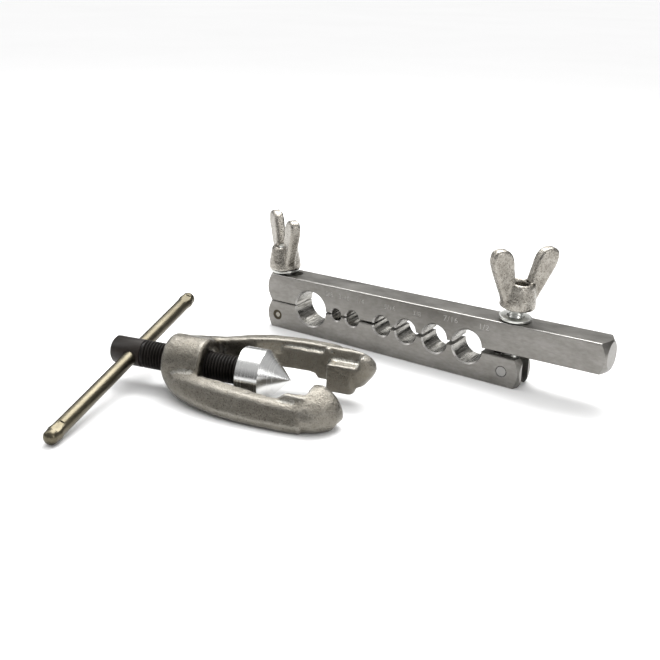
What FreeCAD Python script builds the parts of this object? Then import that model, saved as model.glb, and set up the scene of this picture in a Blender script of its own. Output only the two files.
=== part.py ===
"""Bar-type tube flaring tool: two half-inch square die bars clamped by two
swing bolts with wing nuts, and a separate quarter-turn yoke that carries the
feed screw, the 45 degree flaring cone and the sliding T-handle.

Frame: millimetres, +Z up.  Origin at the centre of the lower die bar's bottom
face, +X along the bars towards the long handle end, +Y towards the back face.
The tool is modelled as it lies on a bench: lower bar flat, upper bar lifted a
little at the right because its wing nut is backed off, yoke lying in front.
"""
import FreeCAD, Part
import os, math
from FreeCAD import Vector as V

os.makedirs("parts", exist_ok=True)

# ------------------------------------------------------------ dimensions (mm)
BAR = 12.7                 # square section of both bars (half inch)
EDGE = 0.5                 # broken long edges
LOWER_LEN = 120.7          # corner to corner
UPPER_LEN = 155.0          # corner to corner
TURN_R = 5.6               # flat disc of the turned ends
TURN_T = 0.76              # axial fall per unit radius on the turned ends
SEAM = 0.1                 # gap of the closed pair
TILT = 0.89                # degrees, upper bar opened at the right
BORES = [(21.73, 15.875), (35.31, 4.7625), (43.79, 6.35), (58.94, 7.9375),
         (70.76, 9.525), (84.67, 11.1125), (99.71, 12.7)]   # x, tube diameter
SINK_F = 0.6               # countersink at the front face
SINK_B = 0.25              # edge break at the back face
X0 = LOWER_LEN / 2         # left corner of the bars is at x = -X0
YC = 0.0                   # bars are centred on y = 0
LPIN = (3.15, 6.25)        # left pin, x from the left corner and z
RPIN = (115.6, 6.45)
PIN_R = 2.38
LPIN_R = 2.45
SLOT_L = 6.9               # width of the left slots
SLOT_R = 6.6               # width of the right fork
STUD_R = 3.175             # quarter inch swing bolts
EYE_R = 4.5
EYE_T = 6.2
WASH_R, WASH_H, WASH_T = 6.6, 3.5, 1.2
NUT_H, NUT_RB, NUT_RT = 10.5, 7.3, 5.9
NUT_BORE = 3.23
WING_T = 4.7
WING_FOOT = 0.45             # wings start this far above the nut's seat
RNUT_GAP = 3.78            # right nut stands above its washer
RNUT_ANG = 55.5            # wing directions about the bolt
LNUT_ANG = -33.5
LNUT_GAP = 0.03
LWASH_LIFT = 0.66          # left washer stands just clear of the bar
RLEAN = 4.7                # degrees, slack right bolt leans outwards
STUD_LEN = 32.0            # pin centre to stud end

# yoke group, local frame: origin at the cone's point, x towards the hooks
YK_POS = (58.69 - X0, -65.54 - BAR / 2, 11.0)
YK_YAW = 14.85
YK_PITCH = 1.35
BOSS_R = 10.6
BOSS_X = (-51.0, -34.0)
SCREW_R = 5.55
SCREW_BORE = 5.62
HEAD_X = -75.6
THREAD_X = -62.6
CONE_R = 10.2
CONE_BACK = -19.6
NECK_R = 3.55
SOCKET_R = 3.62
HANDLE_X = -66.7
HANDLE_R = 2.83
HANDLE_HOLE = 2.93
HANDLE_TILT = 9.2
HANDLE_NEAR = 62.6
HANDLE_FAR = 49.2


# ------------------------------------------------------------------ helpers
def save(shape, name):
    shape = shape.removeSplitter() if shape.ShapeType != "Solid" else shape
    if shape.ShapeType == "Compound" and len(shape.Solids) == 1:
        shape = shape.Solids[0]
    shape.exportStep("parts/%s.step" % name)
    print("%-18s solids %d valid %s vol %.1f" % (name, len(shape.Solids), shape.isValid(), shape.Volume))


def box(x0, x1, y0, y1, z0, z1):
    return Part.makeBox(x1 - x0, y1 - y0, z1 - z0, V(x0, y0, z0))


def cyl(r, p, d, h):
    return Part.makeCylinder(r, h, V(*p), V(*d))


def poly_face(pts):
    return Part.Face(Part.makePolygon([V(*p) for p in pts] + [V(*pts[0])]))


def revolve_x(prof):
    """prof: (x, r) pairs, revolved about the X axis."""
    f = poly_face([(x, r, 0) for x, r in prof])
    return f.revolve(V(0, 0, 0), V(1, 0, 0), 360)


def spline_wire(pts, z=0.0):
    c = Part.BSplineCurve()
    c.interpolate([V(p[0], p[1], z) for p in pts], PeriodicFlag=True)
    return Part.Wire([c.toShape()])


def bar_blank(length):
    """Square bar along X from the left corner at x=0, centred on y=0,
    bottom at z=0, long edges broken, both ends turned to a shallow cone."""
    bulge = (BAR / math.sqrt(2) - TURN_R) * TURN_T
    b = box(-bulge - 1, length + bulge + 1, -BAR / 2, BAR / 2, 0, BAR)
    edges = [e for e in b.Edges if abs(e.tangentAt(e.FirstParameter).x) > 0.9]
    b = b.makeFillet(EDGE, edges)
    rc = BAR / math.sqrt(2)
    ext = 1.2
    prof = [(-bulge, 0), (-bulge, TURN_R), (ext * TURN_T, rc + ext),
            (length - ext * TURN_T, rc + ext), (length + bulge, TURN_R), (length + bulge, 0)]
    t = revolve_x(prof)
    t.translate(V(0, 0, BAR / 2))
    return b.common(t)


def tube_cutter(x, d, z):
    """Bore along Y with a countersink at the front and an edge break behind."""
    r = d / 2
    c = cyl(r, (x, -BAR / 2 - 1, z), (0, 1, 0), BAR + 2)
    f = Part.makeCone(r + SINK_F + 0.5, r, SINK_F + 0.5, V(x, -BAR / 2 - 0.5, z), V(0, 1, 0))
    g = Part.makeCone(r, r + SINK_B + 0.5, SINK_B + 0.5, V(x, BAR / 2 - SINK_B, z), V(0, 1, 0))
    return c.fuse([f, g])


def to_row(shape):
    """Bars and clamps are drawn from the left corner; move to the row frame."""
    s = shape.copy()
    s.translate(V(-X0, 0, 0))
    return s


def tilt(shape):
    """Upper bar frame (z=0 at its own bottom face) to the bench."""
    s = shape.copy()
    s.rotate(V(0, 0, 0), V(0, 1, 0), -TILT)
    s.translate(V(0, 0, BAR + SEAM))
    return to_row(s)


# ---------------------------------------------------------------- lower bar
low = bar_blank(LOWER_LEN)
for x, d in BORES:
    low = low.cut(tube_cutter(x, d, BAR + SEAM / 2))
low = low.cut(box(-5, 7.55, -SLOT_L / 2, SLOT_L / 2, -1, BAR + 1))
low = low.cut(cyl(SLOT_L / 2, (7.55, 0, -1), (0, 0, 1), BAR + 2))
low = low.cut(box(RPIN[0] - 5.4, LOWER_LEN + 5, -SLOT_R / 2, SLOT_R / 2, -1, BAR + 1))
low = low.cut(cyl(LPIN_R, (LPIN[0], -BAR, LPIN[1]), (0, 1, 0), 2 * BAR))
low = low.cut(cyl(PIN_R, (RPIN[0], -BAR, RPIN[1]), (0, 1, 0), 2 * BAR))
save(to_row(low), "lower_die_bar")

# ---------------------------------------------------------------- upper bar
upp = bar_blank(UPPER_LEN)
for x, d in BORES:
    upp = upp.cut(tube_cutter(x, d, -SEAM / 2))
upp = upp.cut(box(-5, 8.95, -SLOT_L / 2, SLOT_L / 2, -1, BAR + 1))
upp = upp.cut(cyl(SLOT_L / 2, (8.95, 0, -1), (0, 0, 1), BAR + 2))


def bar_local(x, z):
    """Bench point (x from left corner, z) in the tilted bar's own frame."""
    a = math.radians(TILT)
    zz = z - BAR - SEAM
    return x * math.cos(a) + zz * math.sin(a), -x * math.sin(a) + zz * math.cos(a)


rbx, rbz = bar_local(*RPIN)          # right bolt stands square to the upper bar
lbx, lbz = bar_local(*LPIN)
# slotted hole: the right bolt can lean outwards in it
upp = upp.cut(cyl(3.5, (rbx - 0.1, 0, -1), (0, 0, 1), BAR + 2))
upp = upp.cut(cyl(3.5, (rbx + 2.1, 0, -1), (0, 0, 1), BAR + 2))
upp = upp.cut(box(rbx - 0.1, rbx + 2.1, -3.5, 3.5, -1, BAR + 1))
save(tilt(upp), "upper_die_bar")

# --------------------------------------------------------------------- pins
pl = cyl(LPIN_R, (LPIN[0], -BAR / 2 + 0.02, LPIN[1]), (0, 1, 0), BAR - 0.04)
dim = Part.makeCone(1.35, 1.0, 0.35, V(LPIN[0], -BAR / 2 + 0.02, LPIN[1]), V(0, 1, 0))
pl = pl.cut(dim)
save(to_row(pl), "left_pivot_pin")
pr = cyl(PIN_R, (RPIN[0], -BAR / 2 + 0.02, RPIN[1]), (0, 1, 0), BAR - 0.04)
pr = pr.makeChamfer(0.25, [e for e in pr.Edges if e.Closed])
save(to_row(pr), "right_pivot_pin")


# -------------------------------------------------------- swing (eye) bolts
def swing_bolt(px, pz, pin_r):
    """Flat-sided eye on the pin and a threaded stud, square to the upper bar."""
    top = pz + STUD_LEN
    eye = cyl(EYE_R, (px, -EYE_T / 2, pz), (0, 1, 0), EYE_T)
    neck = box(px - STUD_R, px + STUD_R, -EYE_T / 2, EYE_T / 2, pz, pz + 5.5)
    stud = Part.makeCylinder(STUD_R, top - pz - 4.0, V(px, 0, pz + 4.0))
    stud = stud.makeChamfer(0.6, [e for e in stud.Edges if e.Closed and e.CenterOfMass.z > top - 0.1])
    b = eye.fuse([neck.common(Part.makeCylinder(4.2, 9, V(px, 0, pz - 1))), stud]).removeSplitter()
    return b.cut(cyl(pin_r + 0.05, (px, -BAR, pz), (0, 1, 0), 2 * BAR))


LWASH_Z = BAR + LWASH_LIFT
RWASH_Z = BAR + 0.65


def lean(shape):
    s = shape.copy()
    s.rotate(V(rbx, 0, rbz), V(0, 1, 0), RLEAN)
    return s


lbolt = swing_bolt(lbx, lbz, LPIN_R)
rbolt = lean(swing_bolt(rbx, rbz, PIN_R))
save(tilt(lbolt), "left_swing_bolt")
save(tilt(rbolt), "right_swing_bolt")


# ------------------------------------------------------------------ washers
def washer(px, z):
    w = Part.makeCylinder(WASH_R, WASH_T, V(px, 0, z))
    w = w.makeFillet(0.35, [e for e in w.Edges if e.Closed])
    return w.cut(Part.makeCylinder(WASH_H, WASH_T + 2, V(px, 0, z - 1)))


save(tilt(washer(lbx, LWASH_Z)), "left_washer")
save(tilt(lean(washer(rbx, RWASH_Z))), "right_washer")

# ---------------------------------------------------------------- wing nuts
WING = [(1.5, 1.0), (6.3, 0.8), (7.8, 3.6), (9.7, 7.6), (12.0, 12.2), (13.9, 16.3),
        (15.0, 20.2), (14.3, 23.3), (11.6, 24.6), (8.3, 24.0), (6.0, 21.6), (4.9, 17.6),
        (4.0, 13.5), (3.0, 10.2), (1.2, 8.0)]


def wing_nut():
    prof = [(0, 0), (NUT_RB - 0.6, 0), (NUT_RB, 0.6), (NUT_RB - 0.15, 3.0), (NUT_RT + 0.5, NUT_H - 3.5),
            (NUT_RT, NUT_H - 0.8), (NUT_RT - 0.8, NUT_H), (0, NUT_H)]
    f = poly_face([(r, 0, z) for r, z in prof])
    nut = f.revolve(V(0, 0, 0), V(0, 0, 1), 360)
    wings = []
    for s in (1, -1):
        c = Part.BSplineCurve()
        c.interpolate([V(s * u, -WING_T / 2, z) for u, z in WING], PeriodicFlag=True)
        w = Part.Face(Part.Wire([c.toShape()])).extrude(V(0, WING_T, 0))
        rim = [e for e in w.Edges if e.Closed]
        w = w.makeFillet(1.4, rim)
        # the wings stop above the seat, so only the flat of the boss bears on the washer
        w = w.cut(Part.makeBox(60, 20, 10, V(-30, -10, WING_FOOT - 10)))
        wings.append(w)
    nut = nut.fuse(wings).removeSplitter()
    nut = nut.cut(Part.makeCylinder(NUT_BORE, NUT_H + 2, V(0, 0, -1)))
    nut = nut.cut(Part.makeCone(NUT_BORE + 0.7, NUT_BORE, 0.7, V(0, 0, 0)))
    nut = nut.cut(Part.makeCone(NUT_BORE, NUT_BORE + 0.9, 0.9, V(0, 0, NUT_H - 0.9)))
    return nut


def place_nut(px, z, ang):
    n = wing_nut()
    n.rotate(V(0, 0, 0), V(0, 0, 1), ang)
    n.translate(V(px, 0, z))
    return n


save(tilt(place_nut(lbx, LWASH_Z + WASH_T + LNUT_GAP, LNUT_ANG)), "left_wing_nut")
save(tilt(lean(place_nut(rbx, RWASH_Z + WASH_T + RNUT_GAP, RNUT_ANG))), "right_wing_nut")


# --------------------------------------------------------------- yoke group
def yoke_place(shape):
    s = shape.copy()
    s.rotate(V(0, 0, 0), V(0, 1, 0), YK_PITCH)
    s.rotate(V(0, 0, 0), V(0, 0, 1), YK_YAW)
    s.translate(V(*YK_POS))
    return s


def loft(stations):
    wires = []
    for x, pts in stations:
        wires.append(Part.makePolygon([V(x, y, z) for y, z in pts] + [V(x, pts[0][0], pts[0][1])]))
    return Part.makeLoft(wires, True, True)


# near arm: low half of the yoke.  x: (yi, zi, yot, zo, yom, zm, yob, zb, yib)
NEAR = [
    (-50.6, -2.0, -0.8, -6.6, -1.4, -7.8, -5.0, -4.2, -8.4, 0.0),
    (-48.0, -3.0, -0.4, -9.4, -1.2, -11.0, -6.0, -7.6, -9.7, -1.0),
    (-44.0, -5.0, 0.2, -11.9, -0.6, -14.0, -6.6, -11.2, -10.2, -3.0),
    (-38.0, -8.0, 0.8, -14.5, 0.0, -17.0, -7.0, -15.2, -10.3, -7.0),
    (-32.0, -9.9, 1.1, -16.2, 0.3, -19.0, -7.2, -17.8, -10.4, -9.6),
    (-24.0, -11.7, 0.5, -17.8, 0.0, -21.0, -7.4, -20.2, -10.4, -11.6),
    (-14.0, -13.1, -0.1, -19.0, -0.3, -22.4, -7.5, -21.7, -10.4, -13.0),
    (-4.0, -14.7, -0.6, -19.8, -0.6, -23.0, -7.5, -22.3, -10.4, -14.2),
    (4.0, -14.8, -0.6, -20.2, -0.7, -23.2, -7.5, -22.6, -10.4, -14.5),
    (12.0, -14.6, -0.8, -19.8, -1.0, -22.7, -7.5, -21.8, -10.4, -14.5),
]
# far arm: high half of the yoke, the same idea turned half a turn
FAR = [
    (-50.6, 2.0, 0.8, 6.6, 1.4, 7.8, 4.6, 4.6, 8.2, 0.0),
    (-48.0, 3.0, 0.4, 8.8, 1.2, 10.2, 5.2, 6.8, 8.6, 1.0),
    (-44.0, 5.0, -0.2, 10.8, 0.6, 12.2, 5.2, 9.2, 8.2, 3.0),
    (-38.0, 8.0, -0.8, 12.8, 0.0, 14.4, 5.2, 12.4, 7.7, 7.0),
    (-32.0, 9.9, -1.1, 14.8, -0.3, 16.6, 5.4, 15.0, 7.6, 9.6),
    (-24.0, 11.7, -0.8, 17.0, -0.2, 19.2, 6.0, 18.2, 8.4, 12.6),
    (-14.0, 13.1, -1.4, 18.8, -0.6, 21.2, 6.4, 20.4, 9.1, 15.2),
    (-4.0, 14.2, -1.8, 19.6, -1.0, 22.0, 6.5, 21.2, 9.3, 16.4),
    (4.0, 14.4, -2.0, 19.8, -1.2, 22.0, 6.5, 21.2, 9.3, 16.6),
    (13.0, 14.4, -2.2, 19.4, -1.4, 21.6, 6.5, 20.6, 9.2, 16.4),
]


def arm(rows):
    st = []
    for x, yi, zi, yot, zo, yom, zm, yob, zb, yib in rows:
        s = 1 if yom > 0 else -1
        st.append((x, [(yi, zi), (yot - s * 1.0, zo), (yot + s * 0.6, zo - 1.0 if s < 0 else zo + 1.0),
                       (yom, zm), (yob, zb), (yib, zb), (yi + s * 0.2, (zi + zb) / 2)]))
    return loft(st)


def prism(pts, z0, z1):
    f = poly_face([(x, y, z0) for x, y in pts])
    return f.extrude(V(0, 0, z1 - z0))


def fillet_vertical(s, r, sel=None):
    es = []
    for e in s.Edges:
        t = e.tangentAt(e.FirstParameter)
        if abs(t.z) > 0.99 and (sel is None or sel(e.CenterOfMass)):
            es.append(e)
    return s.makeFillet(r, es)


def wedge_cut(pts, x0, x1):
    """Prism along X of a (y, z) polygon, used to cut or to add a ramp."""
    f = poly_face([(x0, y, z) for y, z in pts])
    return f.extrude(V(x1 - x0, 0, 0))


def outline_loft(spl, lines, levels, centre, n=18):
    """Solid whose plan is a smooth curve closed by straight lines; levels are
    (z, k) pairs: the plan shrinks by k towards the centre."""
    c = Part.BSplineCurve()
    c.interpolate([V(x, y, 0) for x, y in spl])
    t0, t1 = c.FirstParameter, c.LastParameter
    pts = [c.value(t0 + (t1 - t0) * i / n) for i in range(n + 1)]
    cx, cy = centre
    wires = []
    for z, k in levels:
        ring = [V(cx + (p.x - cx) * k, cy + (p.y - cy) * k, z) for p in pts]
        ring += [V(x, cy + (y - cy) * k, z) for x, y in lines]
        wires.append(Part.makePolygon(ring + [ring[0]]))
    return Part.makeLoft(wires, True, True)


# near hook: closes the front end and curls up behind the bars
near_hook = outline_loft([(11.5, -22.4), (15.5, -21.6), (19.6, -19.2), (22.8, -15.6), (24.4, -11.8), (23.9, -8.6),
                          (21.6, -6.5), (18.0, -5.9)], [(8.0, -5.9), (8.0, -21.4)],
                         [(-10.4, 0.84), (-9.7, 0.92), (-8.4, 0.975), (-6.6, 1.0), (-4.4, 0.985), (-2.4, 0.93), (-0.8, 0.84), (0.7, 0.72),
                          (2.0, 0.58), (3.0, 0.44), (3.6, 0.30)], (12.0, -5.9))
near_hook = near_hook.cut(box(6, 11.4, -14.3, -5, -11, 4))
near_hook = near_hook.cut(wedge_cut([(-5.0, -7.2), (-14.0, -7.2), (-14.6, -10.4), (-14.6, -12), (-5.0, -12)], 10, 30))
near_pad = Part.makeLoft([Part.makePolygon([V(x, a, b), V(x, c, b), V(x, c, -7.5), V(x, a, -7.5), V(x, a, b)])
                          for x, a, b, c in ((0.4, -14.7, -0.6, -17.0), (3.6, -14.0, 2.0, -17.0), (11.6, -14.0, 2.0, -17.0))], True, True)

# far hook: the same piece turned half a turn, curling down
far_end = outline_loft([(11.0, 21.8), (17.0, 21.4), (23.0, 19.9), (27.6, 17.3), (29.6, 13.9), (28.2, 10.8), (25.0, 8.9),
                        (20.0, 8.4)], [(8.0, 8.4), (8.0, 20.6)],
                       [(-3.2, 0.70), (-1.0, 0.82), (1.5, 0.935), (4.0, 1.0), (6.2, 0.975), (8.1, 0.88), (9.3, 0.73)], (14.0, 10.5))
far_end = far_end.cut(box(6, 11.0, 8, 14.3, -4, 10))
claw = outline_loft([(20.4, 13.6), (22.2, 11.8), (22.4, 10.0), (20.6, 8.3)], [(11.0, 8.2), (11.0, 16.5), (18.0, 16.5)],
                    [(-6.2, 0.86), (-5.6, 0.96), (-4.6, 1.0), (5.4, 1.0)], (13.0, 12.0), 6)
far_hook = far_end.fuse(claw)
far_hook = far_hook.cut(wedge_cut([(7.0, 5.4), (13.4, 5.4), (15.8, 9.2), (15.8, 14), (7.0, 14)], 10, 23.5))
far_hook = far_hook.cut(wedge_cut([(15.5, -6.2), (18.0, -2.6), (19.6, -1.4), (22.0, 2.5), (24, 2.5), (24, -8), (15.5, -8)], 10, 30))
far_pad = Part.makeLoft([Part.makePolygon([V(x, a, b), V(x, c, b), V(x, c, 7.0), V(x, a, 7.0), V(x, a, b)])
                         for x, a, b, c in ((-9.0, 14.0, -1.8, 17.0), (4.6, 14.0, -1.8, 17.0), (5.4, 14.0, -4.0, 17.0), (11.2, 14.0, -4.0, 17.0))], True, True)

boss = revolve_x([(BOSS_X[0], 0), (BOSS_X[0], BOSS_R - 1.6), (BOSS_X[0] + 0.5, BOSS_R - 0.7), (BOSS_X[0] + 1.6, BOSS_R),
                  (BOSS_X[1] - 0.6, BOSS_R - 0.1), (BOSS_X[1], BOSS_R - 0.7), (BOSS_X[1], 0)])
near_arm = arm(NEAR)
far_arm = arm(FAR)
for nm, s in (("near_arm", near_arm), ("far_arm", far_arm), ("near_hook", near_hook), ("far_hook", far_hook),
              ("near_pad", near_pad), ("far_pad", far_pad)):
    print("  ", nm, s.isValid(), round(s.Volume, 1))
yoke = boss.fuse([near_arm, far_arm, near_hook, far_hook, near_pad, far_pad]).removeSplitter()
# window and throat stay clear of the cone and the screw
clear = cyl(CONE_R + 0.9, (BOSS_X[1], 0, 0), (1, 0, 0), 44.9)
yoke = yoke.cut(clear)
yoke = yoke.cut(cyl(SCREW_BORE, (-70, 0, 0), (1, 0, 0), 60))
yoke = yoke.cut(Part.makeCone(SCREW_BORE + 0.8, SCREW_BORE, 0.8, V(BOSS_X[0], 0, 0), V(1, 0, 0)))
save(yoke_place(yoke), "yoke")

# -------------------------------------------------------------- feed screw
screw = revolve_x([(HEAD_X, 0), (HEAD_X, SCREW_R - 0.9), (HEAD_X + 0.9, SCREW_R), (-20.5, SCREW_R), (-20.0, SCREW_R - 0.5),
                   (-20.0, NECK_R), (-16.6, NECK_R), (-16.6, NECK_R - 0.75), (-15.4, NECK_R - 0.75), (-15.4, NECK_R),
                   (-11.4, NECK_R), (-11.2, NECK_R - 0.2), (-11.2, 0)])
hd = (0, -math.cos(math.radians(HANDLE_TILT)), -math.sin(math.radians(HANDLE_TILT)))
screw = screw.cut(cyl(HANDLE_HOLE, (HANDLE_X, -hd[1] * 10, -hd[2] * 10), hd, 20))
save(yoke_place(screw), "feed_screw")

# -------------------------------------------------- cone, ball, snap ring
cone = revolve_x([(CONE_BACK, 0), (CONE_BACK, CONE_R - 0.3), (CONE_BACK + 0.3, CONE_R), (-CONE_R, CONE_R), (-0.35, 0.35),
                  (-0.1, 0.2), (0, 0)])
socket = revolve_x([(CONE_BACK - 1, 0), (CONE_BACK - 1, SOCKET_R), (-16.7, SOCKET_R), (-16.7, SOCKET_R + 0.75), (-15.3, SOCKET_R + 0.75),
                    (-15.3, SOCKET_R), (-9.9, SOCKET_R), (-6.28, 0)])
cone = cone.cut(socket)
save(yoke_place(cone), "flaring_cone")
ball = Part.makeSphere(2.0, V(-9.15, 0, 0))
save(yoke_place(ball), "thrust_ball")
ring = revolve_x([(-16.5, NECK_R - 0.68), (-16.5, SOCKET_R + 0.65), (-15.5, SOCKET_R + 0.65), (-15.5, NECK_R - 0.68)])
ring = ring.cut(box(-17, -15, -0.9, 0.9, 0, 6))
save(yoke_place(ring), "cone_snap_ring")

# -------------------------------------------------------------- T-handle
rod = Part.makeCylinder(HANDLE_R, HANDLE_NEAR + HANDLE_FAR, V(0, 0, 0))
rod = rod.makeFillet(2.2, [e for e in rod.Edges if e.Closed and len(e.Vertexes) <= 1 and abs(e.BoundBox.ZLength) < 0.01])
total = HANDLE_NEAR + HANDLE_FAR
for zc in (5.0, total - 5.0):
    ear = box(-3.25, 3.25, -0.9, 0.9, zc - 1.8, zc + 1.8)
    ear = ear.makeFillet(0.8, [e for e in ear.Edges if abs(e.tangentAt(e.FirstParameter).y) > 0.9])
    rod = rod.fuse(ear)
    for s in (1, -1):
        rod = rod.cut(cyl(1.6, (-4, s * (HANDLE_R + 1.15), zc), (1, 0, 0), 8))
rod = rod.removeSplitter()
# local z of the rod runs from the near (low) end to the far (high) end
rod.rotate(V(0, 0, 0), V(0, 0, 1), 35)
rod.rotate(V(0, 0, 0), V(1, 0, 0), -(90 - HANDLE_TILT))
rod.translate(V(HANDLE_X, hd[1] * HANDLE_NEAR, hd[2] * HANDLE_NEAR))
save(yoke_place(rod), "handle_bar")
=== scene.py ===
import bpy, bmesh, math
import numpy as np
from mathutils import Vector, Matrix


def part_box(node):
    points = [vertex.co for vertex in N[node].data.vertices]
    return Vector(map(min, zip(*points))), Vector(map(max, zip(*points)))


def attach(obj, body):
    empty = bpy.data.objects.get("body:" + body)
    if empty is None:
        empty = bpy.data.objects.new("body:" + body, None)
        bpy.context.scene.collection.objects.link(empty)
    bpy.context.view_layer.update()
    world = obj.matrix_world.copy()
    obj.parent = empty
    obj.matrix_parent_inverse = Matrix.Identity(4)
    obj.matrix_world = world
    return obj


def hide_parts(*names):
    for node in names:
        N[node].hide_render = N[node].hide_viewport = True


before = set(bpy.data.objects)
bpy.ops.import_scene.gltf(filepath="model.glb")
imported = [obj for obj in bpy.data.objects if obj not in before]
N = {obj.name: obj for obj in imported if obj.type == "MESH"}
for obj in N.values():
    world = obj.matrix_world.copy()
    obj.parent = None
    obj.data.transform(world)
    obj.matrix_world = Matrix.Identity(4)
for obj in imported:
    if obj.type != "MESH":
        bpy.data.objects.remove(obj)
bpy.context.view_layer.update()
MM = 0.001
rng = np.random.default_rng(7)

# ------------------------------------------------------------ known geometry
T = math.radians(0.89)                       # upper bar stands this far open
X0 = 60.35
YP = Vector((-1.66, -71.89, 11.0)) * MM      # cone point
XL = Vector((0.966332, 0.256218, -0.023560)).normalized()
YL = Vector((-0.256289, 0.966600, 0.0)).normalized()
ZL = XL.cross(YL).normalized()
HD = Vector((0.249351, -0.955131, -0.159837)).normalized()
LP = Vector((-57.2, 0, 6.25)) * MM
RP = Vector((55.25, 0, 6.45)) * MM
LA = Vector((-math.sin(T), 0, math.cos(T)))
RL = math.radians(4.7 - 0.89)
RA = Vector((math.sin(RL), 0, math.cos(RL)))
PITCH = 1.27 * MM


def bar_point(x, y, z):
    """Upper bar frame (mm) to row frame (m)."""
    return Vector((x * math.cos(T) - z * math.sin(T) - X0, y, x * math.sin(T) + z * math.cos(T) + 12.8)) * MM


# ------------------------------------------------------------ node helpers
class Nodes:
    def __init__(self, name, metallic=1.0, rough=0.3, spec=0.5):
        self.m = bpy.data.materials.new(name)
        self.m.use_nodes = True
        self.t = self.m.node_tree
        self.b = self.t.nodes["Principled BSDF"]
        self.b.inputs["Metallic"].default_value = metallic
        self.b.inputs["Roughness"].default_value = rough
        self.b.inputs["Specular IOR Level"].default_value = spec
        self.pos = self.t.nodes.new("ShaderNodeTexCoord").outputs["Object"]

    def link(self, a, b):
        self.t.links.new(a, b)

    def vmap(self, scale, src=None):
        """Coordinates stretched per axis, in 1/m."""
        n = self.t.nodes.new("ShaderNodeVectorMath")
        n.operation = "MULTIPLY"
        self.link(src or self.pos, n.inputs[0])
        n.inputs[1].default_value = scale
        return n.outputs[0]

    def dot(self, axis, scale, src=None):
        n = self.t.nodes.new("ShaderNodeVectorMath")
        n.operation = "DOT_PRODUCT"
        self.link(src or self.pos, n.inputs[0])
        n.inputs[1].default_value = [a * scale for a in axis]
        return n.outputs["Value"]

    def noise(self, vec=None, scale=1.0, detail=4.0, rough=0.6, w=None, dist=0.0):
        n = self.t.nodes.new("ShaderNodeTexNoise")
        if w is not None:
            n.noise_dimensions = "1D"
            self.link(w, n.inputs["W"])
        else:
            self.link(vec or self.pos, n.inputs["Vector"])
        n.inputs["Scale"].default_value = scale
        n.inputs["Detail"].default_value = detail
        n.inputs["Roughness"].default_value = rough
        n.inputs["Distortion"].default_value = dist
        return n.outputs["Fac"]

    def ramp(self, fac, stops, interp="LINEAR"):
        n = self.t.nodes.new("ShaderNodeValToRGB")
        self.link(fac, n.inputs["Fac"])
        r = n.color_ramp
        r.interpolation = interp
        while len(r.elements) < len(stops):
            r.elements.new(0.5)
        for e, (p, c) in zip(r.elements, stops):
            e.position = p
            e.color = (*c, 1) if len(c) == 3 else c
        return n.outputs["Color"]

    def grey(self, fac, stops):
        return self.ramp(fac, [(p, (v, v, v)) for p, v in stops])

    def mix(self, a, b, fac, kind="MIX"):
        n = self.t.nodes.new("ShaderNodeMix")
        n.data_type = "RGBA"
        n.blend_type = kind
        for s, v in ((n.inputs[6], a), (n.inputs[7], b), (n.inputs[0], fac)):
            if isinstance(v, bpy.types.NodeSocket):
                self.link(v, s)
            elif isinstance(v, (int, float)):
                s.default_value = v
            else:
                s.default_value = (*v, 1)
        return n.outputs[2]

    def math(self, op, a, b=0.0, c=None):
        n = self.t.nodes.new("ShaderNodeMath")
        n.operation = op
        for s, v in zip(n.inputs, (a, b, c)):
            if v is None:
                continue
            if isinstance(v, bpy.types.NodeSocket):
                self.link(v, s)
            else:
                s.default_value = v
        return n.outputs[0]

    def bump(self, height, dist, strength=1.0, prev=None):
        n = self.t.nodes.new("ShaderNodeBump")
        n.inputs["Strength"].default_value = strength
        n.inputs["Distance"].default_value = dist
        self.link(height, n.inputs["Height"])
        if prev is not None:
            self.link(prev, n.inputs["Normal"])
        return n.outputs["Normal"]

    def pointy(self, lo, hi):
        g = self.t.nodes.new("ShaderNodeNewGeometry")
        return self.ramp(g.outputs["Pointiness"], [(lo, (0, 0, 0)), (hi, (1, 1, 1))])

    def radial(self, p, axis):
        """Distance from the line through p along axis, in mm."""
        s = self.t.nodes.new("ShaderNodeVectorMath")
        s.operation = "SUBTRACT"
        self.link(self.pos, s.inputs[0])
        s.inputs[1].default_value = p
        c = self.t.nodes.new("ShaderNodeVectorMath")
        c.operation = "CROSS_PRODUCT"
        self.link(s.outputs[0], c.inputs[0])
        c.inputs[1].default_value = [a * 1000 for a in axis]
        n = self.t.nodes.new("ShaderNodeVectorMath")
        n.operation = "LENGTH"
        self.link(c.outputs[0], n.inputs[0])
        return n.outputs["Value"]

    def set(self, color=None, rough=None, normal=None):
        for v, k in ((color, "Base Color"), (rough, "Roughness"), (normal, "Normal")):
            if v is not None:
                self.link(v, self.b.inputs[k])
        return self.m


# --------------------------------------------------------------- materials
def bar_steel():
    n = Nodes("ground_bar_steel", 1.0, 0.36)
    grind = n.noise(n.vmap((260, 5200, 5200)), 1.0, 5.0, 0.65)      # fine lines along the bar
    cloud = n.noise(n.vmap((70, 160, 160)), 1.0, 3.0, 0.55)
    stain = n.noise(n.vmap((420, 900, 900)), 1.0, 4.0, 0.6)
    c = n.ramp(cloud, [(0.3, (0.205, 0.197, 0.183)), (0.7, (0.285, 0.276, 0.260))])
    c = n.mix(c, n.ramp(stain, [(0.35, (0.80, 0.79, 0.77)), (0.65, (1, 1, 1))]), 0.8, "MULTIPLY")
    c = n.mix(c, n.ramp(grind, [(0.3, (0.84, 0.84, 0.84)), (0.7, (1.0, 1.0, 1.0))]), 0.9, "MULTIPLY")
    r = n.grey(n.math("ADD", n.math("MULTIPLY", grind, 0.6), n.math("MULTIPLY", cloud, 0.4)), [(0.3, 0.27), (0.7, 0.43)])
    return n.set(c, r, n.bump(grind, 0.00003, 0.55))


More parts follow.
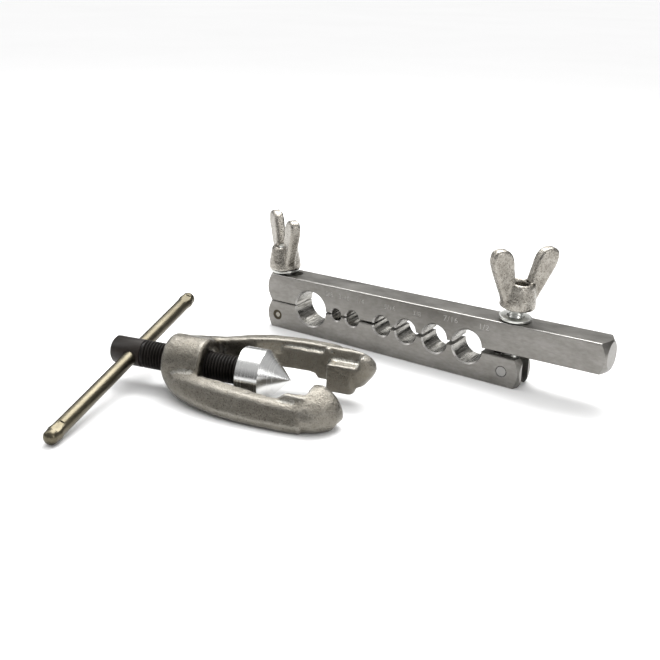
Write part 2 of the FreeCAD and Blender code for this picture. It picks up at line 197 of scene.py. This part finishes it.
def painted_highlight_edge():
    # painted highlight: a lighter steel colour for the bar edges and countersinks, standing in for the light they catch
    n = Nodes("bar_edge_painted_highlight", 1.0, 0.3)
    a = n.noise(n.vmap((500, 1500, 1500)), 1.0, 4.0, 0.6)
    c = n.ramp(a, [(0.3, (0.31, 0.30, 0.285)), (0.7, (0.48, 0.47, 0.45))])
    return n.set(c, n.grey(a, [(0.3, 0.24), (0.7, 0.42)]), n.bump(a, 0.00004, 0.6))


def bored():
    n = Nodes("reamed_bore_steel", 1.0, 0.24)
    a = n.noise(n.vmap((380, 5600, 380)), 1.0, 4.0, 0.6)       # tool marks run round the bore
    b = n.noise(n.vmap((900, 140, 900)), 1.0, 3.0, 0.6)
    c = n.ramp(b, [(0.34, (0.09, 0.085, 0.073)), (0.62, (0.34, 0.33, 0.305))])
    return n.set(c, n.grey(b, [(0.3, 0.16), (0.7, 0.34)]), n.bump(a, 0.00007, 0.8))


def pin_steel(name, p, rings):
    n = Nodes(name, 1.0, 0.3)
    d = n.radial(p, (0, 1, 0))
    f = n.math("MULTIPLY", d, 1 / 3.0)
    wob = n.noise(n.vmap((1500, 1500, 1500)), 1.0, 3.0)
    f = n.math("ADD", f, n.math("MULTIPLY", n.math("SUBTRACT", wob, 0.5), 0.12))
    c = n.ramp(f, rings)
    turn = n.noise(w=d, scale=9.0, detail=3.0)
    return n.set(c, n.grey(wob, [(0.3, 0.26), (0.7, 0.42)]), n.bump(turn, 0.00003, 0.5))


def zinc(name, base=(0.60, 0.605, 0.575)):
    n = Nodes(name, 1.0, 0.26)
    a = n.noise(n.vmap((700, 700, 700)), 1.0, 4.0)
    b = n.noise(n.vmap((3600, 3600, 3600)), 1.0, 2.0)
    c = n.ramp(a, [(0.3, tuple(v * 0.90 for v in base)), (0.7, base)])
    return n.set(c, n.grey(a, [(0.3, 0.30), (0.7, 0.38)]), n.bump(b, 0.000006, 0.4))


def cast_nickel():
    n = Nodes("cast_nickel_plate", 1.0, 0.38)
    a = n.noise(n.vmap((1500, 1500, 1500)), 1.0, 3.0, 0.6)
    b = n.noise(n.vmap((4200, 4200, 4200)), 1.0, 2.0, 0.5)
    g = n.noise(n.vmap((260, 260, 260)), 1.0, 3.0, 0.5)
    c = n.ramp(g, [(0.3, (0.27, 0.252, 0.222)), (0.7, (0.40, 0.378, 0.34))])
    c = n.mix(c, n.ramp(a, [(0.34, (0.50, 0.48, 0.45)), (0.56, (1, 1, 1))]), 0.8, "MULTIPLY")
    # painted highlight: sharp edges (high pointiness) are painted lighter
    edge = n.pointy(0.505, 0.56)
    c = n.mix(c, (0.44, 0.42, 0.38), n.math("MULTIPLY", edge, 0.6))
    nb = n.bump(a, 0.0002, 1.0)
    nb = n.bump(b, 0.00004, 0.7, nb)
    return n.set(c, n.grey(a, [(0.3, 0.22), (0.7, 0.36)]), nb)


def cast_body():
    n = Nodes("cast_yoke_metal", 1.0, 0.42)
    grain = n.noise(n.vmap((1900, 1900, 1900)), 1.0, 3.0, 0.7)
    mid = n.noise(n.vmap((520, 520, 520)), 1.0, 4.0, 0.6)
    big = n.noise(n.vmap((90, 90, 90)), 1.0, 3.0, 0.5)
    c = n.ramp(big, [(0.3, (0.345, 0.335, 0.305)), (0.7, (0.475, 0.465, 0.43))])
    c = n.mix(c, n.ramp(mid, [(0.3, (0.76, 0.75, 0.73)), (0.62, (1, 1, 1))]), 0.85, "MULTIPLY")
    c = n.mix(c, n.ramp(grain, [(0.38, (0.40, 0.39, 0.37)), (0.54, (1, 1, 1))]), 0.9, "MULTIPLY")
    # painted highlight: sharp edges are painted brighter; painted shade: hollows are painted darker
    edge = n.pointy(0.502, 0.53)
    c = n.mix(c, (0.78, 0.77, 0.73), n.math("MULTIPLY", edge, 0.75))
    # painted shade: faces turned in towards the window between the arms are painted dark
    nrm = n.t.nodes.new("ShaderNodeTexCoord").outputs["Normal"]
    yl = n.math("ADD", n.dot(YL, 1.0), -YP.dot(YL))
    xl = n.math("ADD", n.dot(XL, 1.0), -YP.dot(XL))
    inward = n.math("MULTIPLY", n.math("MULTIPLY", n.math("SIGN", yl), n.dot(YL, 1.0, nrm)), -1.0)
    wall = n.ramp(n.math("ADD", inward, n.math("MULTIPLY", mid, 0.3)), [(0.35, (0, 0, 0)), (0.95, (1, 1, 1))])
    c = n.mix(c, (0.085, 0.08, 0.066), n.math("MULTIPLY", wall, 0.62))
    # painted shade: the boss face looking into the window, between the arms, is painted near black
    front = n.math("MULTIPLY", n.math("GREATER_THAN", n.dot(XL, 1.0, nrm), 0.3), n.math("LESS_THAN", xl, -0.020))
    front = n.math("MULTIPLY", front, n.math("LESS_THAN", n.math("ABSOLUTE", yl), 0.015))
    c = n.mix(c, (0.03, 0.026, 0.02), n.math("MULTIPLY", front, 0.8))
    # painted shade: hollows (low pointiness) are painted darker
    hollow = n.pointy(0.495, 0.455)
    c = n.mix(c, (0.13, 0.115, 0.09), n.math("MULTIPLY", hollow, 0.7))
    # a faint yellow-brown stain beside the far hook
    sp = YP + XL * 0.0125 + YL * 0.0115 + ZL * 0.0085
    s = n.t.nodes.new("ShaderNodeVectorMath")
    s.operation = "DISTANCE"
    n.link(n.pos, s.inputs[0])
    s.inputs[1].default_value = sp
    d = n.math("ADD", n.math("MULTIPLY", s.outputs["Value"], 170.0), n.math("MULTIPLY", mid, 0.9))
    st = n.ramp(d, [(0.55, (1, 1, 1)), (1.35, (0, 0, 0))])
    c = n.mix(c, (0.24, 0.17, 0.07), n.math("MULTIPLY", st, 0.6))
    nb = n.bump(mid, 0.0005, 0.6)
    nb = n.bump(grain, 0.00020, 1.0, nb)
    return n.set(c, n.grey(grain, [(0.3, 0.24), (0.7, 0.40)]), nb)


def black_oxide():
    n = Nodes("black_oxide_steel", 0.0, 0.34, 0.18)
    a = n.noise(n.vmap((900, 900, 900)), 1.0, 4.0)
    d = n.dot(XL, 1.0)
    turn = n.noise(w=d, scale=5200.0, detail=3.0)
    c = n.ramp(a, [(0.3, (0.004, 0.0035, 0.003)), (0.7, (0.012, 0.010, 0.009))])
    # painted highlight: sharp edges and thread crests are painted lighter
    edge = n.pointy(0.52, 0.60)
    c = n.mix(c, (0.05, 0.04, 0.034), n.math("MULTIPLY", edge, 0.45))
    return n.set(c, n.grey(a, [(0.3, 0.30), (0.7, 0.48)]), n.bump(turn, 0.00004, 0.5))


def polished_cone():
    n = Nodes("turned_cone_steel", 1.0, 0.16)
    d = n.dot(XL, 1.0)
    turn = n.noise(w=d, scale=6500.0, detail=5.0, rough=0.7)
    broad = n.noise(w=d, scale=900.0, detail=2.0)
    c = n.ramp(turn, [(0.3, (0.70, 0.70, 0.69)), (0.7, (0.86, 0.86, 0.85))])
    r = n.grey(n.math("ADD", n.math("MULTIPLY", turn, 0.7), n.math("MULTIPLY", broad, 0.3)), [(0.3, 0.17), (0.7, 0.30)])
    return n.set(c, r, n.bump(turn, 0.000012, 0.5))


def nickel_rod():
    n = Nodes("dull_nickel_rod", 1.0, 0.27)
    along = n.dot(HD, 1.0)
    around = n.noise(n.vmap((2600, 420, 2600)), 1.0, 3.0)
    patch = n.noise(n.vmap((300, 120, 300)), 1.0, 3.0)
    c = n.ramp(patch, [(0.3, (0.100, 0.088, 0.060)), (0.7, (0.145, 0.130, 0.094))])
    c = n.mix(c, n.ramp(around, [(0.32, (0.72, 0.70, 0.66)), (0.6, (1, 1, 1))]), 0.7, "MULTIPLY")
    fine = n.noise(w=along, scale=2600.0, detail=3.0)
    return n.set(c, n.grey(around, [(0.3, 0.27), (0.7, 0.42)]), n.bump(fine, 0.00001, 0.35))


def stamped():
    n = Nodes("stamped_digit_floor", 1.0, 0.45)
    a = n.noise(n.vmap((3000, 3000, 3000)), 1.0, 3.0)
    return n.set(n.ramp(a, [(0.3, (0.34, 0.33, 0.32)), (0.7, (0.62, 0.61, 0.59))]), n.grey(a, [(0.3, 0.3), (0.7, 0.5)]), n.bump(a, 0.00005, 0.6))


M_BAR, M_ZINC, M_NUT, M_CAST, M_BLACK, M_CONE, M_ROD = (bar_steel(), zinc("bright_zinc_steel"), cast_nickel(), cast_body(),
                                                         black_oxide(), polished_cone(), nickel_rod())
M_DIGIT, M_EDGE_HIGHLIGHT, M_BORE = stamped(), painted_highlight_edge(), bored()
M_LPIN = pin_steel("left_pin_steel", LP, [(0.0, (0.20, 0.185, 0.15)), (0.30, (0.34, 0.32, 0.28)), (0.42, (0.05, 0.042, 0.03)),
                                          (0.72, (0.04, 0.034, 0.024)), (0.85, (0.18, 0.165, 0.14))])
M_RPIN = pin_steel("right_pin_steel", RP, [(0.0, (0.26, 0.255, 0.245)), (0.66, (0.26, 0.255, 0.245)), (0.735, (0.02, 0.018, 0.016)), (1.0, (0.02, 0.018, 0.016))])
M_SPRING = zinc("oiled_spring_steel", (0.3, 0.3, 0.31))


def give(o, m):
    o.data.materials.clear()
    o.data.materials.append(m)


def smooth(o, angle=35):
    for p in o.data.polygons:
        p.use_smooth = True
    o.data.update()
    bm = bmesh.new()
    bm.from_mesh(o.data)
    lim = math.radians(angle)
    for e in bm.edges:
        if len(e.link_faces) == 2 and e.calc_face_angle(0) > lim:
            e.smooth = False
    bm.to_mesh(o.data)
    bm.free()


def copy_node(node, name, weld=2e-6):
    """A free copy of a CAD node's mesh, welded into one closed surface."""
    me = bpy.data.meshes.new(name)
    bm = bmesh.new()
    bm.from_mesh(N[node].data)
    bmesh.ops.remove_doubles(bm, verts=bm.verts, dist=weld)
    bmesh.ops.dissolve_degenerate(bm, edges=bm.edges, dist=1e-7)
    bm.to_mesh(me)
    bm.free()
    o = bpy.data.objects.new(name, me)
    bpy.context.scene.collection.objects.link(o)
    return o


def place(o, body, slot, mat, *nodes):
    give(o, mat)
    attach(o, body)
    if nodes:
        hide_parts(*nodes)
    return o


def apply_mods(o):
    dg = bpy.context.evaluated_depsgraph_get()
    me = bpy.data.meshes.new_from_object(o.evaluated_get(dg))
    o.modifiers.clear()
    old = o.data
    o.data = me
    bpy.data.meshes.remove(old)


def verts(o):
    a = np.empty(len(o.data.vertices) * 3, np.float64)
    o.data.vertices.foreach_get("co", a)
    return a.reshape(-1, 3)


def set_verts(o, a):
    o.data.vertices.foreach_set("co", a.astype(np.float32).ravel())
    o.data.update()


def value_noise(p, cell):
    """Smooth lattice noise in -1..1, seeded."""
    table = np.random.default_rng(11).uniform(-1, 1, 4096)
    q = p / cell
    i = np.floor(q).astype(int)
    f = q - i
    f = f * f * (3 - 2 * f)
    out = np.zeros(len(p))
    for dx in (0, 1):
        for dy in (0, 1):
            for dz in (0, 1):
                h = ((i[:, 0] + dx) * 73856093 ^ (i[:, 1] + dy) * 19349663 ^ (i[:, 2] + dz) * 83492791) & 4095
                w = np.where(dx, f[:, 0], 1 - f[:, 0]) * np.where(dy, f[:, 1], 1 - f[:, 1]) * np.where(dz, f[:, 2], 1 - f[:, 2])
                out += w * table[h]
    return out


def cast(o, node, voxel, iterations, amp, cell, soft=None):
    """Turns crisp CAD faces into a casting: remeshed, softened, lightly uneven."""
    m = o.modifiers.new("r", "REMESH")
    m.mode = "VOXEL"
    m.voxel_size = voxel
    apply_mods(o)
    m = o.modifiers.new("s", "SMOOTH")
    m.factor = 0.5
    m.iterations = iterations
    if soft is not None:
        g = o.vertex_groups.new(name="soft")
        for i, wgt in enumerate(soft(verts(o))):
            g.add([i], float(wgt), "REPLACE")
        k = o.modifiers.new("k", "SMOOTH")
        k.factor = 0.5
        k.iterations = 46
        k.vertex_group = "soft"
    apply_mods(o)
    a = verts(o)
    nrm = np.empty(len(a) * 3)
    o.data.vertices.foreach_get("normal", nrm)
    nrm = nrm.reshape(-1, 3)
    a = a + nrm * (value_noise(a, cell) * amp)[:, None]
    lo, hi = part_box(node)
    a = np.clip(a, np.array(lo), np.array(hi))
    set_verts(o, a)
    for p in o.data.polygons:
        p.use_smooth = True


def open_bore(o, p, axis, r, keep, r_max):
    """Pushes surface inside radius r of a bore axis back out to r."""
    a = verts(o)
    ax = np.array(axis)
    d = a - np.array(p)
    t = d @ ax
    rad = d - t[:, None] * ax
    ln = np.linalg.norm(rad, axis=1)
    hit = (ln < r_max) & (ln > 1e-6) & keep(t)
    new = np.maximum(ln[hit], r)
    a[hit] = np.array(p) + t[hit][:, None] * ax + rad[hit] / ln[hit][:, None] * new[:, None]
    set_verts(o, a)


def thread(name, p, axis, x0, x1, crest, root, pitch, seg=56):
    """A closed rod with a real right-hand helical thread between x0 and x1."""
    axis = Vector(axis).normalized()
    u = axis.orthogonal().normalized()
    v = axis.cross(u)
    prof = [(0.0, root), (0.10, root), (0.40, crest), (0.56, crest), (0.90, root)]
    k = len(prof) - 1
    turns = int(math.ceil((x1 - x0) / pitch)) + 3
    rows = turns * k
    fade = pitch * 0.9
    bm = bmesh.new()
    grid = []
    for j in range(seg):
        th = 2 * math.pi * j / seg
        dirn = u * math.cos(th) + v * math.sin(th)
        col = []
        for i in range(rows + 1):
            q, r = divmod(i, k)
            x = x0 - pitch * 1.5 + pitch * (q + prof[r][0] + j / seg)
            rr = prof[r][1]
            xc = min(max(x, x0), x1)
            edge = min(xc - x0, x1 - xc)
            if edge < fade:
                rr = root + (rr - root) * (edge / fade)
            col.append(bm.verts.new(p + axis * xc + dirn * rr))
        grid.append(col)
    for j in range(seg):
        nxt = grid[(j + 1) % seg]
        off = 0 if j < seg - 1 else k
        for i in range(rows - k if off else rows):
            a, b = grid[j][i], grid[j][i + 1]
            c, d = nxt[i + 1 + off if off else i + 1], nxt[i + off if off else i]
            bm.faces.new((a, d, c, b))
    bmesh.ops.remove_doubles(bm, verts=bm.verts, dist=1e-6)
    bmesh.ops.dissolve_degenerate(bm, edges=bm.edges, dist=1e-7)
    holes = [e for e in bm.edges if e.is_boundary]
    if holes:
        bmesh.ops.holes_fill(bm, edges=holes, sides=0)
    bmesh.ops.recalc_face_normals(bm, faces=bm.faces)
    me = bpy.data.meshes.new(name)
    bm.to_mesh(me)
    bm.free()
    o = bpy.data.objects.new(name, me)
    bpy.context.scene.collection.objects.link(o)
    return o


def cut_keep(o, p, normal):
    """Keeps the side of the plane that the normal points away from, capped."""
    bm = bmesh.new()
    bm.from_mesh(o.data)
    g = bm.verts[:] + bm.edges[:] + bm.faces[:]
    r = bmesh.ops.bisect_plane(bm, geom=g, dist=1e-7, plane_co=p, plane_no=normal, clear_outer=True)
    es = [e for e in r["geom_cut"] if isinstance(e, bmesh.types.BMEdge) and e.is_boundary]
    if es:
        bmesh.ops.holes_fill(bm, edges=es, sides=0)
    bm.to_mesh(o.data)
    bm.free()
    return o


def join(name, parts):
    bm = bmesh.new()
    for q in parts:
        bm.from_mesh(q.data)
    me = bpy.data.meshes.new(name)
    bm.to_mesh(me)
    bm.free()
    for q in parts:
        bpy.data.objects.remove(q)
    o = bpy.data.objects.new(name, me)
    bpy.context.scene.collection.objects.link(o)
    return o


# ---------------------------------------------------------------- yoke frame
yoke = copy_node("yoke", "yoke_casting")


def boss_blend(a):
    """1 where the arms run into the boss, 0 at the hooks and round the bore."""
    d = a - np.array(YP)
    x = d @ np.array(XL) / MM
    r = np.sqrt((d @ np.array(YL)) ** 2 + (d @ np.array(ZL)) ** 2) / MM
    w = np.clip((-20 - x) / 12, 0, 1)
    w = w * w * (3 - 2 * w)
    c = np.clip((r - 6.6) / 1.6, 0, 1)
    return w * c


cast(yoke, "yoke", 0.00050, 12, 0.00009, 0.0022, boss_blend)
BX = (-51.0 * MM, -34.0 * MM)
open_bore(yoke, YP, XL, 5.72 * MM, lambda t: (t > BX[0] - 0.002) & (t < BX[1] + 0.002), 6.6 * MM)
place(yoke, "yoke", "cast_body", M_CAST, "yoke")

# ---------------------------------------------------------------- wing nuts
for side, body, p, ax in (("left", "left_nut", LP, LA), ("right", "right_nut", RP, RA)):
    w = copy_node(side + "_wing_nut", side + "_wing_nut_casting")
    cast(w, side + "_wing_nut", 0.00034, 7, 0.00006, 0.0011)
    open_bore(w, p, ax, 3.30 * MM, lambda t: t > 0, 4.2 * MM)
    # the seat is faced flat, so it lands on the washer instead of in it
    cn = N[side + "_wing_nut"]
    seat = min((cn.matrix_world @ v.co - p).dot(ax) for v in cn.data.vertices) + 0.05 * MM
    q = verts(w)
    t = (q - np.array(p)) @ np.array(ax)
    q = q + np.outer(np.maximum(seat - t, 0.0), np.array(ax))
    set_verts(w, q)
    place(w, body, "cast_nickel", M_NUT, side + "_wing_nut")

# -------------------------------------------------------------- swing bolts
for side, body, p, ax in (("left", "left_bolt", LP, LA), ("right", "right_bolt", RP, RA)):
    eye = cut_keep(copy_node(side + "_swing_bolt", "eye"), p + ax * 12.0 * MM, ax)
    rod = thread("rod", p, ax, 11.6 * MM, 31.95 * MM, 3.17 * MM, 2.55 * MM, PITCH)
    b = join(side + "_bolt_threaded", [eye, rod])
    smooth(b, 50)
    place(b, body, "zinc_steel", M_ZINC, side + "_swing_bolt")

# --------------------------------------------------------------- feed screw
head = cut_keep(copy_node("feed_screw", "head"), YP + XL * (-62.6 * MM), XL)
nose = cut_keep(copy_node("feed_screw", "nose"), YP + XL * (-20.6 * MM), -XL)
rod = thread("rod", YP, XL, -62.9 * MM, -20.2 * MM, 5.54 * MM, 4.72 * MM, PITCH, 72)
screw = join("feed_screw_threaded", [head, rod, nose])
smooth(screw, 50)
place(screw, "screw", "black_oxide", M_BLACK, "feed_screw")

# ------------------------------------------------------- stamped size numbers
def digits(text, x, z, h):
    cu = bpy.data.curves.new("t", "FONT")
    cu.body = text
    cu.size = h * 1.38 * MM
    cu.align_x = "CENTER"
    cu.align_y = "CENTER"
    cu.extrude = 0.16 * MM
    cu.resolution_u = 3
    cu.space_character = 1.12
    o = bpy.data.objects.new("t", cu)
    bpy.context.scene.collection.objects.link(o)
    o.matrix_world = (Matrix.Translation(bar_point(x, -6.35, z)) @ Matrix.Rotation(-T, 4, "Y") @ Matrix.Rotation(math.radians(90), 4, "X"))
    bpy.context.view_layer.update()
    dg = bpy.context.evaluated_depsgraph_get()
    me = bpy.data.meshes.new_from_object(o.evaluated_get(dg))
    me.transform(o.matrix_world)
    bpy.data.objects.remove(o)
    q = bpy.data.objects.new("digits", me)
    bpy.context.scene.collection.objects.link(q)
    bm = bmesh.new()
    bm.from_mesh(me)
    bmesh.ops.remove_doubles(bm, verts=bm.verts, dist=1e-7)
    bmesh.ops.recalc_face_normals(bm, faces=bm.faces)
    bm.to_mesh(me)
    bm.free()
    return q


LABELS = [("5/8", 31.7, 8.6, 2.1), ("3/16", 39.6, 8.6, 2.1), ("1/4", 47.9, 8.5, 2.1), ("5/16", 62.8, 8.6, 2.1), ("3/8", 76.0, 8.5, 2.1),
          ("7/16", 91.8, 9.3, 2.5), ("1/2", 106.8, 9.0, 2.5)]
stamp = join("stamp", [digits(*a) for a in LABELS])
upper = copy_node("upper_die_bar", "upper_bar_stamped")
area0 = sum(f.area for f in upper.data.polygons)
bo = upper.modifiers.new("b", "BOOLEAN")
bo.operation = "DIFFERENCE"
bo.solver = "EXACT"
bo.object = stamp
apply_mods(upper)
bpy.data.objects.remove(stamp)
area1 = sum(f.area for f in upper.data.polygons)
print("upper bar area", area0, area1, len(upper.data.polygons))
lower = copy_node("lower_die_bar", "lower_bar_ground")
BORES = [(21.73, 15.875), (35.31, 4.7625), (43.79, 6.35), (58.94, 7.9375), (70.76, 9.525), (84.67, 11.1125), (99.71, 12.7)]


def finish_faces(o, to_bar, seam):
    """Ground faces, reamed bores, edges and countersinks painted brighter as a highlight, and digit floors on one bar.
    """
    for m_ in (M_EDGE_HIGHLIGHT, M_BORE, M_DIGIT):
        o.data.materials.append(m_)
    for f in o.data.polygons:
        c = to_bar(f.center)
        nn = f.normal
        k = 0
        for x, d in BORES:
            q = math.hypot(c.x - x, c.z - seam)
            if q < d / 2 + 0.06 and abs(nn.y) < 0.3 and abs(c.y) < 6.4:
                k = 2
            # painted highlight: countersink faces get the brighter edge colour
            elif q < d / 2 + 0.8 and 0.3 < abs(nn.y) < 0.95:
                k = 1
        # painted highlight: the long rounded edges away from the seam get the brighter edge colour
        if k == 0 and abs(nn.y) > 0.2 and abs(nn.z) > 0.2 and abs(nn.x) < 0.2 and abs(c.y) > 5.7 and (c.z > 6) == (o is upper):
            k = 1
        if k == 0 and o is upper and -6.345 < c.y < -6.0 and 6.8 < c.z < 11.2 and any(abs(c.x - q[1]) < 4.6 for q in LABELS):
            k = 3
        f.material_index = k


def upper_frame(c):
    x, z = c.x / MM + X0, c.z / MM - 12.8
    return Vector((x * math.cos(T) + z * math.sin(T), c.y / MM, -x * math.sin(T) + z * math.cos(T)))


def lower_frame(c):
    return Vector((c.x / MM + X0, c.y / MM, c.z / MM))


smooth(upper, 28)
place(upper, "upper_bar", "bar_steel", M_BAR, "upper_die_bar")
finish_faces(upper, upper_frame, -0.05)
smooth(lower, 28)
place(lower, "lower_jaw", "bar_steel", M_BAR, "lower_die_bar")
finish_faces(lower, lower_frame, 12.75)

# ------------------------------------------------------------ sliding rod
def rod_piece():
    """The T-handle rod: staked near each end into two flats and two ears, then a full-diameter round end."""
    o = N["handle_bar"]
    p = [o.matrix_world @ v.co for v in o.data.vertices]
    up_ = (Vector((0, 0, 1)) - HD * HD.z).normalized()
    sd = HD.cross(up_)
    lim = [(min(q.dot(a) for q in p), max(q.dot(a) for q in p)) for a in (HD, up_, sd)]
    mid = up_ * ((lim[1][0] + lim[1][1]) / 2) + sd * ((lim[2][0] + lim[2][1]) / 2)
    # the ears point the way the modelled rod's ears do
    out = [q - HD * q.dot(HD) - mid for q in p]
    far = max(out, key=lambda q: q.length)
    ear = far.length
    sd = far.normalized()
    up_ = HD.cross(sd)
    cu, cs = mid.dot(up_), mid.dot(sd)
    r = 2.83 * MM
    t0, t1 = lim[0]
    dome = 0.0021
    ts = []
    for i in range(11):
        a = math.pi / 2 * i / 10
        ts.append((dome * (1 - math.cos(a)), r * math.sin(a) if i else 0.0))
    st = [(t0 + t, q) for t, q in ts]
    stake = (0.0032, 0.0035, 0.0039, 0.0044, 0.0050, 0.0056, 0.0061, 0.0065, 0.0068, 0.0087, 0.0090)
    for t in stake:
        st.append((t0 + t, r))
    st += [(t0 + t, r) for t in (0.02, 0.04)] + [(t1 - t, r) for t in (0.04, 0.02)]
    for t in reversed(stake):
        st.append((t1 - t, r))
    st += [(t1 - t, q) for t, q in reversed(ts)]
    n, vs, fs = 48, [], []
    for t, q in st:
        e = min(t - t0, t1 - t)
        flat = r - 0.00042 if 0.0036 < e < 0.0088 else r
        for k in range(n):
            u, w_ = q * math.cos(2 * math.pi * k / n), q * math.sin(2 * math.pi * k / n)
            u = max(-flat, min(flat, u))
            if 0.0032 < e < 0.0068:
                # the metal pressed out of the flats stands proud as a low ear
                w_ *= 1 + (min(ear, 3.22 * MM) / r - 1) * max(0.0, 1 - abs(e - 0.0050) / 0.0018)
            vs.append(HD * t + up_ * (cu + u) + sd * (cs + w_))
    for i in range(len(st) - 1):
        for k in range(n):
            a, b = i * n + k, i * n + (k + 1) % n
            fs.append((a, b, b + n, a + n))
    me = bpy.data.meshes.new("sliding_rod")
    me.from_pydata([tuple(v) for v in vs], [], fs)
    bm = bmesh.new()
    bm.from_mesh(me)
    bmesh.ops.remove_doubles(bm, verts=bm.verts, dist=1e-6)
    bmesh.ops.recalc_face_normals(bm, faces=bm.faces)
    bm.to_mesh(me)
    bm.free()
    ob = bpy.data.objects.new("sliding_rod", me)
    bpy.context.scene.collection.objects.link(ob)
    smooth(ob, 30)
    return ob


place(rod_piece(), "handle", "nickel_rod", M_ROD, "handle_bar")

# ------------------------------------------------- carried-over CAD pieces
for node, m in (("left_pivot_pin", M_LPIN), ("right_pivot_pin", M_RPIN), ("left_washer", M_ZINC),
                ("right_washer", M_ZINC), ("flaring_cone", M_CONE), ("thrust_ball", M_CONE), ("cone_snap_ring", M_SPRING),
                ):
    o = N[node]
    for i in range(max(1, len(o.material_slots))):
        if len(o.material_slots) == 0:
            o.data.materials.append(m)
        else:
            o.material_slots[i].material = m

# ------------------------------------------------------------------ studio
fl = bpy.data.meshes.new("floor")
fl.from_pydata([(-6, -6, -0.00002), (6, -6, -0.00002), (6, 9, -0.00002), (-6, 9, -0.00002)], [], [(0, 1, 2, 3)])
floor = bpy.data.objects.new("floor", fl)
bpy.context.scene.collection.objects.link(floor)
fm = Nodes("pale_floor", 0.0, 0.9, 0.2)
pn = fm.noise(fm.vmap((3, 3, 3)), 1.0, 2.0)
fm.set(fm.ramp(pn, [(0.3, (0.88, 0.88, 0.88)), (0.7, (0.90, 0.90, 0.90))]))
floor.data.materials.append(fm.m)


def area(name, loc, target, sx, sy, power, color=(1, 1, 1)):
    l = bpy.data.lights.new(name, "AREA")
    l.shape = "RECTANGLE"
    l.size, l.size_y = sx, sy
    l.energy = power
    l.color = color
    o = bpy.data.objects.new(name, l)
    bpy.context.scene.collection.objects.link(o)
    d = Vector(target) - Vector(loc)
    o.matrix_world = Matrix.Translation(loc) @ d.to_track_quat("-Z", "Y").to_matrix().to_4x4()
    return o


area("top_box", (-0.10, 0.22, 0.55), (0, -0.03, 0.0), 0.50, 0.22, 3.4)
area("left_box", (-0.62, -0.30, 0.40), (0, -0.03, 0.02), 0.30, 0.40, 1.0)
area("right_box", (0.60, -0.20, 0.30), (0.06, -0.01, 0.02), 0.25, 0.30, 1.3)

sun = bpy.data.lights.new("sky_glow", "SUN")
sun.energy = 1.95
sun.angle = math.radians(75)
so = bpy.data.objects.new("sky_glow", sun)
bpy.context.scene.collection.objects.link(so)
so.matrix_world = Vector((0.25, -0.35, -1.0)).to_track_quat("-Z", "Y").to_matrix().to_4x4()

w = bpy.data.worlds.new("studio")
bpy.context.scene.world = w
w.use_nodes = True
tc = w.node_tree.nodes.new("ShaderNodeTexCoord")
sx = w.node_tree.nodes.new("ShaderNodeSeparateXYZ")
rp = w.node_tree.nodes.new("ShaderNodeValToRGB")
w.node_tree.links.new(tc.outputs["Generated"], sx.inputs[0])
w.node_tree.links.new(sx.outputs["Z"], rp.inputs["Fac"])
w.node_tree.links.new(rp.outputs["Color"], w.node_tree.nodes["Background"].inputs["Color"])
rp.color_ramp.elements[0].position = 0.08
rp.color_ramp.elements[0].color = (0.06, 0.06, 0.06, 1)
rp.color_ramp.elements[1].position = 0.62
rp.color_ramp.elements[1].color = (0.80, 0.80, 0.80, 1)
w.node_tree.nodes["Background"].inputs["Strength"].default_value = 0.75

# ------------------------------------------------------------------ camera
yaw, el, ro = math.radians(33.46), math.radians(21.01), math.radians(1.22)
fwd = Vector((-math.sin(yaw) * math.cos(el), math.cos(yaw) * math.cos(el), -math.sin(el)))
right = Vector((math.cos(yaw), math.sin(yaw), 0))
up = right.cross(fwd)
r2 = math.cos(ro) * right + math.sin(ro) * up
u2 = -math.sin(ro) * right + math.cos(ro) * up
cam = bpy.data.cameras.new("camera")
cam.sensor_width = 36
cam.sensor_fit = "HORIZONTAL"
cam.lens = 971 * 36 / 660
cam.clip_start = 0.01
cam.clip_end = 50
co = bpy.data.objects.new("camera", cam)
bpy.context.scene.collection.objects.link(co)
m = Matrix.Identity(4)
for i in range(3):
    m[i][0], m[i][1], m[i][2] = r2[i], u2[i], -fwd[i]
m[0][3], m[1][3], m[2][3] = 0.19625, -0.34545, 0.1614
co.matrix_world = m
bpy.context.scene.camera = co
bpy.context.scene.view_settings.view_transform = "Standard"
bpy.context.scene.view_settings.look = "None"
